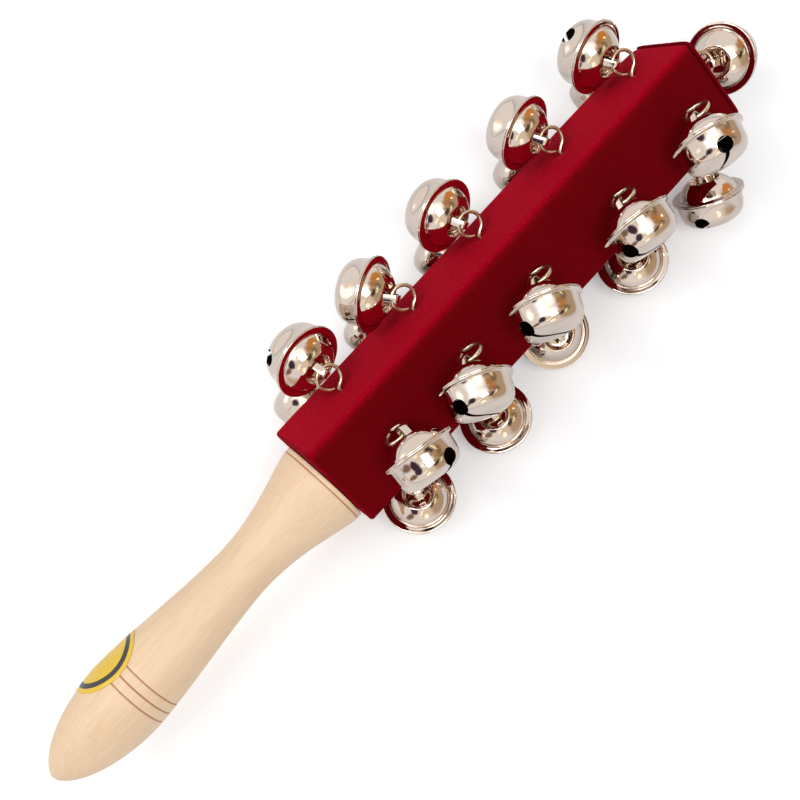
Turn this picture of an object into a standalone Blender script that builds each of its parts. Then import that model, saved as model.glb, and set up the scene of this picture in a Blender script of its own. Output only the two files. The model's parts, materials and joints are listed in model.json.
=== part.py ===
"""A sleigh-bell stick: a turned wooden handle, a velvet-covered square block and 21 jingle bells.

The stick lies on a table as it was photographed. Sizes are in metres, and +Z is up.
The stick's own frame has +X from the handle to the far end, with the block's near end at x = 0.
"""

import math

import bmesh
import bpy
from mathutils import Matrix, Vector

MM = 0.001

# Block and velvet
BLOCK_LENGTH = 183.4 * MM
BLOCK_SIDE = 30.2 * MM
VELVET_THICKNESS = 1.0 * MM
VELVET_EDGE_ROUND = 1.0 * MM
END_PIECE_THICKNESS = 1.7 * MM
SEAT_GAP = 0.3 * MM

# Handle, which stands a little off the block's middle line
HANDLE_LENGTH = 126.0 * MM
HANDLE_OFFSET = Vector((0, -1.27, 0.58)) * MM
COLLAR_DIAMETER = 32.0 * MM
COLLAR_LENGTH = 2.1 * MM
NECK_DIAMETER = 18.8 * MM
NECK_PLACE = 40.0 * MM
BELLY_DIAMETER = 27.6 * MM
BELLY_PLACE = 92.0 * MM
NECK_SWEEP = 0.68
TIP_POWER = 0.6
TENON_DIAMETER = 16.0 * MM
TENON_LENGTH = 17.0 * MM
HANDLE_SIDES = 16

# Screw eyes
WIRE_DIAMETER = 1.3 * MM
EYE_RADIUS = 4.2 * MM
EYE_HEIGHT = {"top": 5.6 * MM, "left": 5.6 * MM, "right": 8.3 * MM, "bottom": 8.3 * MM, "end": 7.3 * MM}
EYE_LENGTH = 16.6 * MM
EYE_GAP_ANGLE = math.radians(34)
WIRE_SIDES = 5
EYE_STEPS = 12

# Bells
BELL_RIM_RADIUS = 12.7 * MM
BELL_RIM_THICKNESS = 1.2 * MM
BELL_BODY_RADIUS = 11.3 * MM
BELL_DEPTH = 10.6 * MM
BELL_ROUNDNESS = 4
CROWN_HEIGHT = 5.8 * MM
LIP_RADIUS = 5.5 * MM
DISH_RADIUS = 4.7 * MM
DISH_HEIGHT = 3.3 * MM
BELL_WALL = 0.6 * MM
BELL_SIDES = 12
CAVITY_SIDES = 8
SLOT_WIDTH = 1.5 * MM
HOLE_DIAMETER = 5.5 * MM
HOLE_DROP = 7.6 * MM
STRAP_WIDTH = 2.5 * MM
STRAP_THICKNESS = 0.7 * MM
STRAP_BORE = 3.0 * MM
STRAP_SPREAD = 3.6 * MM
PIVOT_TO_RIM = 7.8 * MM
HANG_GAP = 0.6 * MM
PELLET_DIAMETER = 6.0 * MM
VELVET_CLEARANCE = 0.4 * MM

# Where the screw eyes stand: evenly along the block, and each a little off, along the block and across
# its face
FIRST_EYE = 24.2 * MM
LAST_EYE_TO_END = 13.6 * MM
EYE_OFFSETS = {
    "top": [(0.5, 1.3), (-1.4, 1.4), (-4.2, 1.8), (-2.2, -1.3), (-0.4, -0.2)],
    "left": [(0.2, -0.2), (-0.6, 0.0), (-3.8, 1.0), (-0.9, -1.0), (-0.6, -1.1)],
    "right": [(-4.2, 2.2), (-4.7, 3.0), (-5.4, 1.5), (-2.8, 1.5), (0.1, 0.7)],
    "bottom": [(-3.0, -2.0), (-3.0, -2.0), (-3.0, -2.0), (0.0, 0.0), (0.0, 0.0)],
    "end": [(0.0, 0.0)],
}

# How the stick lies on the table
STICK_ROLL = math.radians(33)
FACE_TURN = {"top": 0, "left": -90, "right": 90, "bottom": 180}
END_EYE_TURN = math.radians(78)

# How each bell hangs in the photograph: the slide of its strap round the eye towards the handle, its swing
# as a share of the swing to the velvet, its lean along the wire, the slack of its strap on the wire in
# millimetres, and the turn of its slot (angles in degrees)
BELL_POSES = {
    "top": [(-19, 0.97, -20, 1.0, 70), (54, 0.88, 10, 0.2, 95), (55, 0.97, 10, 0.7, 107),
            (49, 0.97, 15, 0.4, 110), (51, 0.97, 10, 0.2, 49)],
    "left": [(5, -0.91, -1, 1.8, 50), (43, -0.91, 4, 1.2, 10), (36, -0.97, 12, 1.6, 10),
             (43, -0.90, 16, 1.6, 10), (51, -0.97, 21, 0.8, 122)],
    "right": [(28, 0.59, 15, 0.6, 175), (13, 0.56, 15, 0.4, 10), (11, 0.96, 10, 0.9, 155),
              (13, 0.63, 13, 0.7, 40), (17, 0.04, -3, 0.4, 150)],
    "bottom": [(49, 0.97, 10, 0.3, 85), (51, 0.97, 6, 0.0, 70), (47, 0.97, 3, 0.2, 70),
               (29, 0.97, 3, 0.1, 70), (-40, 0.97, -9, 0.3, 160)],
    "end": [(39, 0.48, 15, 0.4, 165)],
}
WITH_PELLET = {"top": 5, "left": 5, "right": 3, "bottom": 0, "end": 1}

BLOCK_HALF = BLOCK_SIDE / 2
VELVET_INNER = BLOCK_HALF + SEAT_GAP
VELVET_HALF = VELVET_INNER + VELVET_THICKNESS
CORE_START = VELVET_THICKNESS + SEAT_GAP
END_FACE = BLOCK_LENGTH + SEAT_GAP + END_PIECE_THICKNESS
HOLE_CLEARANCE = WIRE_DIAMETER / 2 + SEAT_GAP


def clear_scene():
    for thing in list(bpy.data.objects):
        bpy.data.objects.remove(thing, do_unlink=True)


def material(name, color, metallic, roughness):
    made = bpy.data.materials.new(name)
    made.use_nodes = True
    shader = made.node_tree.nodes["Principled BSDF"]
    shader.inputs["Base Color"].default_value = (*color, 1.0)
    shader.inputs["Metallic"].default_value = metallic
    shader.inputs["Roughness"].default_value = roughness
    made.diffuse_color = (*color, 1.0)
    return made


def new_object(name, mesh, parent=None, finish=None):
    made = bpy.data.objects.new(name, mesh)
    bpy.context.scene.collection.objects.link(made)
    made.parent = parent
    if finish:
        made.data.materials.clear()
        made.data.materials.append(finish)
    return made


def new_empty(name, place, parent=None):
    made = bpy.data.objects.new(name, None)
    bpy.context.scene.collection.objects.link(made)
    made.empty_display_size = 5 * MM
    made.parent = parent
    made.matrix_local = place
    return made


def mesh_of(name, shape):
    bmesh.ops.recalc_face_normals(shape, faces=shape.faces)
    mesh = bpy.data.meshes.new(name)
    shape.to_mesh(mesh)
    shape.free()
    return mesh


def shade(mesh, degrees):
    mesh.shade_smooth()
    mesh.set_sharp_from_angle(angle=math.radians(degrees))


def add_ring(shape, center, across, up, radius, sides):
    """One ring of vertices round center, in the plane of two directions."""
    ring = []
    for i in range(sides):
        angle = 2 * math.pi * i / sides
        ring.append(shape.verts.new(center + radius * (math.cos(angle) * across + math.sin(angle) * up)))
    return ring


def bridge(shape, rings):
    for first, second in zip(rings, rings[1:]):
        count = len(first)
        for i in range(count):
            j = (i + 1) % count
            shape.faces.new((first[i], first[j], second[j], second[i]))


def fan(shape, ring, point):
    tip = shape.verts.new(point)
    for i, vert in enumerate(ring):
        shape.faces.new((vert, ring[(i + 1) % len(ring)], tip))


def lathe(shape, profile, sides, axis=Vector((0, 0, 1))):
    """Turn a profile of (radius, height) round an axis. A radius of 0 at an end closes it to a point."""
    across = axis.orthogonal().normalized()
    up = axis.cross(across)
    inner = [point for point in profile if point[0] > 0]
    rings = [add_ring(shape, axis * height, across, up, radius, sides) for radius, height in inner]
    bridge(shape, rings)
    for ring, end in ((rings[0], profile[0]), (rings[-1], profile[-1])):
        if end[0] > 0:
            shape.faces.new(ring)
        else:
            fan(shape, ring, axis * end[1])


def sweep(shape, path, radii, sides):
    """A round wire along a path in the XZ plane, closed at both ends."""
    rings = []
    side = Vector((0, 1, 0))
    for i, point in enumerate(path):
        before = path[max(i - 1, 0)]
        after = path[min(i + 1, len(path) - 1)]
        along = (after - before).normalized()
        rings.append(add_ring(shape, point, side, along.cross(side), radii[i], sides))
    bridge(shape, rings)
    shape.faces.new(rings[0])
    shape.faces.new(rings[-1])


def cut(target, cutters):
    """Take cutter objects away from a target, and return the finished mesh."""
    for cutter in cutters:
        cutter.hide_render = True
        cutter.display_type = "WIRE"
        boolean = target.modifiers.new("cut", "BOOLEAN")
        boolean.operation = "DIFFERENCE"
        boolean.solver = "EXACT"
        boolean.object = cutter
    return evaluated(target)


def evaluated(target):
    bpy.context.view_layer.update()
    graph = bpy.context.evaluated_depsgraph_get()
    return bpy.data.meshes.new_from_object(target.evaluated_get(graph))


def discard(things):
    for thing in things:
        bpy.data.objects.remove(thing, do_unlink=True)


def smooth_step(share):
    return (1 - math.cos(math.pi * share)) / 2


def handle_radius(back):
    """The handle's radius at a distance back from the block."""
    if back <= COLLAR_LENGTH:
        return COLLAR_DIAMETER / 2
    if back <= NECK_PLACE:
        share = (back - COLLAR_LENGTH) / (NECK_PLACE - COLLAR_LENGTH)
        fall = smooth_step(share ** NECK_SWEEP)
        return (COLLAR_DIAMETER + (NECK_DIAMETER - COLLAR_DIAMETER) * fall) / 2
    if back <= BELLY_PLACE:
        share = (back - NECK_PLACE) / (BELLY_PLACE - NECK_PLACE)
        rise = (share + smooth_step(share)) / 2
        return (NECK_DIAMETER + (BELLY_DIAMETER - NECK_DIAMETER) * rise) / 2
    share = (back - BELLY_PLACE) / (HANDLE_LENGTH - BELLY_PLACE)
    return BELLY_DIAMETER / 2 * max(0.0, 1 - share * share) ** TIP_POWER


def handle_stations():
    """Distances back from the block where the handle has a ring: closer together near the round end."""
    places = [SEAT_GAP, COLLAR_LENGTH]
    places += [COLLAR_LENGTH + (NECK_PLACE - COLLAR_LENGTH) * step / 5 for step in range(1, 6)]
    places += [NECK_PLACE + (BELLY_PLACE - NECK_PLACE) * step / 4 for step in range(1, 5)]
    tip = HANDLE_LENGTH - BELLY_PLACE
    places += [BELLY_PLACE + tip * math.sin(math.radians(angle)) for angle in (20, 40, 57, 71, 82)]
    return places


def make_handle(stick, wood):
    profile = [(TENON_DIAMETER / 2, TENON_LENGTH), (TENON_DIAMETER / 2, -SEAT_GAP)]
    profile += [(handle_radius(back), -back) for back in handle_stations()]
    profile.append((0, -HANDLE_LENGTH))
    shape = bmesh.new()
    lathe(shape, profile, HANDLE_SIDES, Vector((1, 0, 0)))
    mesh = mesh_of("handle", shape)
    mesh.transform(Matrix.Translation(HANDLE_OFFSET))
    shade(mesh, 35)
    return new_object("handle", mesh, stick, wood)


def rounded_square(half, rounding, steps):
    """Corners of a rounded square in the YZ plane."""
    points = []
    for corner in range(4):
        for step in range(steps + 1):
            angle = math.radians(90 * corner + 90 * step / steps)
            turn = math.radians(90 * corner + 45)
            middle = (half - rounding) * math.sqrt(2)
            y = middle * math.cos(turn) + rounding * math.cos(angle)
            z = middle * math.sin(turn) + rounding * math.sin(angle)
            points.append((y, z))
    return points


def prism(shape, outline, start, end):
    rings = [[shape.verts.new((x, y, z)) for y, z in outline] for x in (start, end)]
    bridge(shape, rings)
    shape.faces.new(rings[0])
    shape.faces.new(rings[1])


def square_bar(name, half, rounding, start, end):
    shape = bmesh.new()
    outline = rounded_square(half, rounding, 2) if rounding else [
        (half, half), (-half, half), (-half, -half), (half, -half)]
    prism(shape, outline, start, end)
    return new_object(name, mesh_of(name, shape))


def face_place(face, along, aside):
    """The spot on the velvet where a screw eye stands: local +Z is out of the face, +X along the stick."""
    if face == "end":
        out = Matrix.Rotation(math.radians(90), 4, "Y")
        return Matrix.Translation((END_FACE, aside, along)) @ out @ Matrix.Rotation(END_EYE_TURN, 4, "Z")
    turn = Matrix.Rotation(math.radians(FACE_TURN[face]), 4, "X")
    return Matrix.Translation((along, 0, 0)) @ turn @ Matrix.Translation((0, aside, VELVET_HALF))


def eye_spots():
    """Every screw eye: its face, its number on that face and its spot on the velvet."""
    spots = []
    for face, offsets in EYE_OFFSETS.items():
        for number, (along, aside) in enumerate(offsets, start=1):
            station = 0.0
            if face != "end":
                pitch = (BLOCK_LENGTH - LAST_EYE_TO_END - FIRST_EYE) / (len(offsets) - 1)
                station = FIRST_EYE + pitch * (number - 1)
            spots.append((face, number, face_place(face, station + along * MM, aside * MM)))
    return spots


def shank_depth(face):
    """How deep a face's eyes are screwed in below the velvet: all are alike, so a tall one is less deep."""
    return EYE_LENGTH - EYE_HEIGHT[face]


def shank_holes():
    """One cutter with a six-sided pilot hole for each screw eye's shank."""
    shape = bmesh.new()
    radius = HOLE_CLEARANCE / math.cos(math.pi / 6)
    for face, number, spot in eye_spots():
        bottom = spot @ Vector((0, 0, -shank_depth(face) - SEAT_GAP))
        top = spot @ Vector((0, 0, 5 * MM))
        across = (spot.to_3x3() @ Vector((1, 0, 0))).normalized()
        up = (top - bottom).normalized().cross(across)
        rings = [add_ring(shape, end, across, up, radius, 6) for end in (bottom, top)]
        bridge(shape, rings)
        shape.faces.new(rings[0])
        shape.faces.new(rings[1])
    return new_object("shank_holes", mesh_of("shank_holes", shape))


def make_block(stick, wood, velvet):
    holes = shank_holes()

    bore = bmesh.new()
    bore_radius = (TENON_DIAMETER / 2 + SEAT_GAP) / math.cos(math.pi / HANDLE_SIDES)
    bore_profile = [(bore_radius, TENON_LENGTH + SEAT_GAP), (bore_radius, -5 * MM)]
    lathe(bore, bore_profile, HANDLE_SIDES, Vector((1, 0, 0)))
    bore = new_object("tenon_bore", mesh_of("tenon_bore", bore))
    bore.data.transform(Matrix.Translation(HANDLE_OFFSET))

    core = square_bar("core_blank", BLOCK_HALF, 0, CORE_START, BLOCK_LENGTH)
    core_mesh = cut(core, [holes, bore])
    new_object("core_block", core_mesh, stick, wood)

    wrap = square_bar("wrap_blank", VELVET_HALF, VELVET_EDGE_ROUND, 0, BLOCK_LENGTH)
    inside = square_bar("wrap_inside", VELVET_INNER, 0, VELVET_THICKNESS, BLOCK_LENGTH + 5 * MM)
    wrap_mesh = cut(wrap, [inside, holes, bore])
    shade(wrap_mesh, 35)
    new_object("velvet_wrap", wrap_mesh, stick, velvet)

    end = square_bar("end_blank", VELVET_HALF, VELVET_EDGE_ROUND, END_FACE - END_PIECE_THICKNESS, END_FACE)
    end_mesh = cut(end, [holes])
    shade(end_mesh, 35)
    new_object("velvet_end_piece", end_mesh, stick, velvet)

    discard([holes, bore, core, wrap, inside, end])


def screw_eye_mesh(face):
    """A wire eye: its shank down -Z from the velvet, its ring in the XZ plane, open beside the shank."""
    wire = WIRE_DIAMETER / 2
    height = EYE_HEIGHT[face]
    depth = shank_depth(face)
    neck = height - EYE_RADIUS - 0.8 * MM
    path = [Vector((0, 0, -depth)), Vector((0, 0, -depth + 3 * MM)), Vector((0, 0, neck))]
    radii = [wire * 0.35, wire, wire]
    first = -math.pi / 2 + EYE_GAP_ANGLE / 2
    last = first + 2 * math.pi - EYE_GAP_ANGLE
    for step in range(EYE_STEPS + 1):
        angle = first + (last - first) * step / EYE_STEPS
        path.append(Vector((EYE_RADIUS * math.cos(angle), 0, height + EYE_RADIUS * math.sin(angle))))
        radii.append(wire)
    radii[-1] = wire * 0.55
    shape = bmesh.new()
    sweep(shape, path, radii, WIRE_SIDES)
    mesh = mesh_of("screw_eye", shape)
    shade(mesh, 50)
    return mesh


def crown_height(radius):
    """The crown is a zone of a ball as wide as the body: its height above the rim at a radius."""
    top = math.sqrt(BELL_BODY_RADIUS ** 2 - LIP_RADIUS ** 2)
    return CROWN_HEIGHT - top + math.sqrt(BELL_BODY_RADIUS ** 2 - radius ** 2)


def crown_foot():
    """The radius at which the crown rises from the flat top of the rim."""
    top = math.sqrt(BELL_BODY_RADIUS ** 2 - LIP_RADIUS ** 2)
    rise = top - CROWN_HEIGHT + BELL_RIM_THICKNESS / 2
    return math.sqrt(BELL_BODY_RADIUS ** 2 - rise ** 2)


def bell_outer_profile():
    """The bell's outside from the bottom pole to the dished crown. Heights are from the rim, crown up."""
    rim = BELL_RIM_THICKNESS / 2
    profile = [(0, -BELL_DEPTH)]
    for share in (0.5, 0.82, 1.0):
        depth = BELL_DEPTH * (1 - share ** BELL_ROUNDNESS) ** (1 / BELL_ROUNDNESS)
        profile.append((BELL_BODY_RADIUS * share, -max(depth, 2.5 * rim)))
    profile += [(BELL_RIM_RADIUS, -rim), (BELL_RIM_RADIUS, rim)]
    foot = crown_foot()
    for share in (0, 0.4, 0.72):
        radius = foot + (LIP_RADIUS - foot) * share
        profile.append((radius, crown_height(radius)))
    profile += [(LIP_RADIUS, CROWN_HEIGHT), (DISH_RADIUS, CROWN_HEIGHT - 1.2 * MM)]
    profile += [(DISH_RADIUS - 0.5 * MM, DISH_HEIGHT), (0, DISH_HEIGHT)]
    return profile


def bell_inner_profile():
    """The bell's cavity, one wall inside the outside."""
    rim = BELL_RIM_THICKNESS / 2
    profile = [(0, BELL_WALL - BELL_DEPTH)]
    for share in (0.75, 1.0):
        depth = (BELL_DEPTH - BELL_WALL) * (1 - share ** BELL_ROUNDNESS) ** (1 / BELL_ROUNDNESS)
        profile.append(((BELL_BODY_RADIUS - BELL_WALL) * share, -max(depth, 2.5 * rim)))
    profile.append((crown_foot() - 1.4 * BELL_WALL, rim))
    profile.append((LIP_RADIUS + BELL_WALL, CROWN_HEIGHT - 2.6 * BELL_WALL))
    profile.append((DISH_RADIUS + BELL_WALL, CROWN_HEIGHT - 3 * BELL_WALL))
    profile.append((DISH_RADIUS, DISH_HEIGHT - BELL_WALL))
    profile.append((0, DISH_HEIGHT - BELL_WALL))
    return profile


def from_pivot(profile):
    """Heights above the rim become the bell's own: its pivot is at 0 and its bottom is up +Z."""
    return [(radius, PIVOT_TO_RIM - height) for radius, height in profile]


def strap_solid():
    """The flat strap, an arch over the wire with its bore along X. Its legs spread into the dished crown."""
    half = STRAP_THICKNESS / 2
    middle = STRAP_BORE / 2 - WIRE_DIAMETER / 2 - HANG_GAP
    radius = STRAP_BORE / 2 + half
    foot = Vector((STRAP_SPREAD, PIVOT_TO_RIM - DISH_HEIGHT + BELL_WALL / 2 - middle))
    spread = math.atan2(foot.x, foot.y) - math.asin(radius / foot.length)
    steps = 4
    path = [(foot, spread)]
    for step in range(steps + 1):
        turn = spread + (math.pi - 2 * spread) * step / steps
        path.append((Vector((math.cos(turn), -math.sin(turn))) * radius, turn))
    path.append((Vector((-foot.x, foot.y)), math.pi - spread))
    outer = []
    inner = []
    for point, turn in path:
        out = Vector((math.cos(turn), -math.sin(turn))) * half
        outer.append((point.x + out.x, middle + point.y + out.y))
        inner.append((point.x - out.x, middle + point.y - out.y))
    outline = outer + inner[::-1]
    shape = bmesh.new()
    rings = [[shape.verts.new((x, y, z)) for y, z in outline] for x in (-STRAP_WIDTH / 2, STRAP_WIDTH / 2)]
    bridge(shape, rings)
    count = len(outer)
    for ring in rings:
        for i in range(count - 1):
            shape.faces.new((ring[i], ring[i + 1], ring[2 * count - 2 - i], ring[2 * count - 1 - i]))
    return new_object("strap", mesh_of("strap", shape))


def slot_cutters(turn):
    """The slot across the bottom and the round hole at each of its ends, turned about the bell's axis."""
    rim = PIVOT_TO_RIM
    outer = BELL_BODY_RADIUS
    spin = Matrix.Rotation(turn, 4, "Z")
    cutters = []
    for side in (-1, 1):
        inside = Vector((0, 0, rim + 0.2 * HOLE_DROP))
        wall = Vector((side * outer * 0.955, 0, rim + HOLE_DROP))
        out = (wall - inside).normalized()
        shape = bmesh.new()
        across = out.orthogonal().normalized()
        up = out.cross(across)
        ends = (inside + out * outer * 0.6, wall + out * 0.4 * outer)
        rings = [add_ring(shape, end, across, up, HOLE_DIAMETER / 2, 8) for end in ends]
        bridge(shape, rings)
        shape.faces.new(rings[0])
        shape.faces.new(rings[1])
        cutters.append(new_object("hole", mesh_of("hole", shape)))
    low, high = rim + HOLE_DROP, rim + BELL_DEPTH + 2 * MM
    reach = outer * 0.9
    half = SLOT_WIDTH / 2
    shape = bmesh.new()
    outline = [(half, low), (half, high), (-half, high), (-half, low)]
    prism(shape, outline, -reach, reach)
    cutters.append(new_object("slot", mesh_of("slot", shape)))
    for cutter in cutters:
        cutter.data.transform(spin)
    return cutters


def bell_blank():
    """The hollow bell before the slot is cut: both shells and the strap, crimped into one."""
    shape = bmesh.new()
    lathe(shape, from_pivot(bell_outer_profile()), BELL_SIDES)
    body = new_object("bell_body", mesh_of("bell_body", shape))
    strap = strap_solid()
    union = body.modifiers.new("strap", "BOOLEAN")
    union.operation = "UNION"
    union.solver = "EXACT"
    union.object = strap
    shape = bmesh.new()
    lathe(shape, from_pivot(bell_inner_profile()), CAVITY_SIDES)
    cavity = new_object("cavity", mesh_of("cavity", shape))
    mesh = cut(body, [cavity])
    discard([body, strap, cavity])
    return mesh


def bell_mesh(blank, turn):
    body = new_object("bell_body", blank.copy())
    cutters = slot_cutters(turn)
    mesh = cut(body, cutters)
    discard([body] + cutters)
    shade(mesh, 40)
    return mesh


def pellet_mesh():
    shape = bmesh.new()
    bmesh.ops.create_icosphere(shape, subdivisions=1, radius=PELLET_DIAMETER / 2)
    mesh = mesh_of("pellet", shape)
    mesh.shade_smooth()
    return mesh


def swing_limit(height, slide, lean, slack):
    """How far a bell swings from straight out before its rim meets the velvet, for the way its strap hangs.

    The rim's lowest point is start + reach * dip - BELL_RIM_RADIUS * sqrt(1 - dip * dip) above the velvet.
    There dip is the cosine between the bell's axis and the face. The clearance gives a quadratic for dip.
    """
    reach = PIVOT_TO_RIM - slack
    start = height + EYE_RADIUS * math.cos(slide) - VELVET_CLEARANCE - BELL_RIM_THICKNESS / 2
    square = reach ** 2 + BELL_RIM_RADIUS ** 2
    root = math.sqrt((start * reach) ** 2 - square * (start ** 2 - BELL_RIM_RADIUS ** 2))
    dip = (root - start * reach) / square
    return math.acos((dip - math.sin(lean) * math.sin(slide)) / (math.cos(lean) * math.cos(slide)))


def hinge_place(spot, height, slide):
    """The point on the eye's wire where the strap hangs: local +X is the wire's line, the hinge's axis."""
    ring = spot @ Matrix.Translation((0, 0, height)) @ Matrix.Rotation(-slide, 4, "Y")
    return ring @ Matrix.Translation((0, 0, EYE_RADIUS))


def make_bells(stick, nickel, steel):
    eye_meshes = {face: screw_eye_mesh(face) for face in EYE_HEIGHT}
    blank = bell_blank()
    pellet = pellet_mesh()
    for face, number, spot in eye_spots():
        slide, swing, lean, slack, slot = BELL_POSES[face][number - 1]
        slide = math.radians(slide)
        lean = math.radians(lean)
        name = f"{face}_{number}"
        eye = new_object(f"screw_eye_{name}", eye_meshes[face], stick, steel)
        eye.matrix_local = spot

        hinge = new_empty(f"hinge_{name}", hinge_place(spot, EYE_HEIGHT[face], slide), stick)
        rest = swing * swing_limit(EYE_HEIGHT[face], slide, lean, slack * MM)
        hang = Matrix.Rotation(lean, 4, "Y") @ Matrix.Translation((0, 0, -slack * MM))
        pose = Matrix.Rotation(rest, 4, "X") @ hang
        bell = new_object(f"bell_{name}", bell_mesh(blank, math.radians(slot)), hinge, nickel)
        bell.matrix_local = pose
        if number <= WITH_PELLET[face]:
            low = PIVOT_TO_RIM + BELL_DEPTH - BELL_WALL - PELLET_DIAMETER / 2 - SEAT_GAP
            ball = new_object(f"pellet_{name}", pellet, hinge, steel)
            ball.matrix_local = pose @ Matrix.Translation((0, 0, low))


def rest_on_table(stick):
    """Stand the model on z = 0, with the middle of its box above the origin."""
    bpy.context.view_layer.update()
    corners = []
    for thing in bpy.data.objects:
        if thing.type == "MESH":
            corners += [thing.matrix_world @ vert.co for vert in thing.data.vertices]
    low = Vector([min(point[axis] for point in corners) for axis in range(3)])
    high = Vector([max(point[axis] for point in corners) for axis in range(3)])
    stick.location = (-(low.x + high.x) / 2, -(low.y + high.y) / 2, -low.z)
    bpy.context.view_layer.update()


def main():
    clear_scene()
    wood = material("pale_wood", (0.83, 0.62, 0.38), 0.0, 0.55)
    velvet = material("red_velvet", (0.28, 0.0, 0.015), 0.0, 0.95)
    nickel = material("nickel_plate", (0.78, 0.74, 0.68), 1.0, 0.08)
    steel = material("steel_wire", (0.68, 0.63, 0.54), 1.0, 0.25)
    stick = new_empty("stick", Matrix.Rotation(STICK_ROLL, 4, "X"))
    make_handle(stick, wood)
    make_block(stick, wood, velvet)
    make_bells(stick, nickel, steel)
    rest_on_table(stick)


main()
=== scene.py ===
"""The looks of a sleigh-bell stick: polished jingle bells on a velvet-covered block with a turned handle.

Lengths are in metres. The stick's own frame has +X from the handle to the far end, with the velvet's near
end at x = 0 and the dark face, which the camera looks down on, towards +Z.
"""

import json
import math

import bmesh
import bpy
from mathutils import Matrix, Vector, noise


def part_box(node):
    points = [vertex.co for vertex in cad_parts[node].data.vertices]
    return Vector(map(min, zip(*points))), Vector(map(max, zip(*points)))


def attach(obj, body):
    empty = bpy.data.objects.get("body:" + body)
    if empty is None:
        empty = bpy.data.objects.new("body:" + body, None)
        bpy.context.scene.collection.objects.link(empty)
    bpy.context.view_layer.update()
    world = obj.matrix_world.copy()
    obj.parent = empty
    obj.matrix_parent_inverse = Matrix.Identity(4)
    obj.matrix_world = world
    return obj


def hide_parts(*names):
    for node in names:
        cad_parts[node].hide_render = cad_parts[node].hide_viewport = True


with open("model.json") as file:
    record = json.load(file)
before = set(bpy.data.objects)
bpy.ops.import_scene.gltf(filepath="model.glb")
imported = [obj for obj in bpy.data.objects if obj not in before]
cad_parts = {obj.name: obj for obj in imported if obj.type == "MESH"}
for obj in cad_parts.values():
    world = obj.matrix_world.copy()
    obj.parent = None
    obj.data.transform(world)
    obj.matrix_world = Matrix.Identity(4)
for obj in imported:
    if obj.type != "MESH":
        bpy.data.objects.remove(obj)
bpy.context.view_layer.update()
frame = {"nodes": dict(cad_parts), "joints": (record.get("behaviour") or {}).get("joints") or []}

MM = 0.001

# The stick, read from the frame
WRAP_LOW, WRAP_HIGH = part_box("velvet_wrap")
WRAP_MIDDLE = (WRAP_LOW + WRAP_HIGH) / 2
TOP_HINGE = next(Vector(joint["axis"]) for joint in frame["joints"] if joint["name"] == "swing_top_2")
FACE_UP = Vector((0, TOP_HINGE.y, TOP_HINGE.z)).normalized()
WRAP_POINTS = [vert.co for vert in frame["nodes"]["velvet_wrap"].data.vertices]
VELVET_HALF = max((point - WRAP_MIDDLE).dot(FACE_UP) for point in WRAP_POINTS)
VELVET_LENGTH = WRAP_HIGH.x - WRAP_LOW.x
END_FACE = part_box("velvet_end_piece")[1].x - WRAP_LOW.x
ALONG = Vector((1, 0, 0))
SIDEWAYS = FACE_UP.cross(ALONG)
STICK = Matrix.Translation((WRAP_LOW.x, WRAP_MIDDLE.y, WRAP_MIDDLE.z)) @ Matrix(
    (ALONG, SIDEWAYS, FACE_UP)).transposed().to_4x4()
FACES = {"top": FACE_UP, "left": SIDEWAYS, "right": -SIDEWAYS, "bottom": -FACE_UP, "end": ALONG}

# Handle
HANDLE_LENGTH = 126.0 * MM
HANDLE_OFFSET = Vector((0, -1.27, 0.58)) * MM
COLLAR_RADIUS = 16.0 * MM
COLLAR_LENGTH = 2.1 * MM
NECK_RADIUS = 9.4 * MM
NECK_PLACE = 40.0 * MM
BELLY_RADIUS = 13.8 * MM
BELLY_PLACE = 92.0 * MM
NECK_SWEEP = 0.68
TIP_POWER = 0.6
TENON_RADIUS = 8.0 * MM
TENON_LENGTH = 17.0 * MM
SEAT_GAP = 0.3 * MM
BURNT_LINES = [COLLAR_LENGTH, 83.9 * MM, 87.3 * MM, 90.7 * MM]
BURNT_WIDTH = 0.6 * MM
BURNT_DEPTH = 0.18 * MM
DISC_RADIUS = 12.7 * MM
DISC_PLACE = 88.5 * MM
DISC_TURN = math.radians(-14)

# Velvet
VELVET_THICKNESS = 0.9 * MM
VELVET_ROUND = 1.2 * MM
BORE_RADIUS = 8.4 * MM
SWELL = 0.16 * MM
DIMPLE = 0.4 * MM
DIMPLE_REACH = 1.6 * MM
CORNER_DROOP = 1.0 * MM

# Screw eyes
EYE_RADIUS = 4.2 * MM
EYE_LENGTH = 16.6 * MM
NECK_BEND = 0.8 * MM
WIRE_RADIUS = 0.65 * MM
EYE_GAP_ANGLE = math.radians(34)

# Bells
RIM_RADIUS = 12.7 * MM
RIM_HALF = 0.6 * MM
CUP_RADIUS = 11.3 * MM
CUP_DEPTH = 10.6 * MM
CUP_ROUNDNESS = 4
WALL = 0.45 * MM
PIVOT_TO_RIM = 7.8 * MM
CROWN_HEIGHT = 5.8 * MM
LIP_RADIUS = 5.5 * MM
DISH_HEIGHT = 3.3 * MM
SLOT_WIDTH = 1.6 * MM
SLOT_NARROW = 1.1 * MM
HOLE_RADIUS = 2.75 * MM
HOLE_DROP = 7.6 * MM
STRAP_WIDTH = 2.5 * MM
STRAP_THICKNESS = 0.7 * MM
STRAP_BORE = 1.5 * MM
STRAP_SPREAD = 3.6 * MM
HANG_GAP = 0.6 * MM
PELLET_RADIUS = 3.0 * MM
PELLET_PLACE = 14.5 * MM

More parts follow.
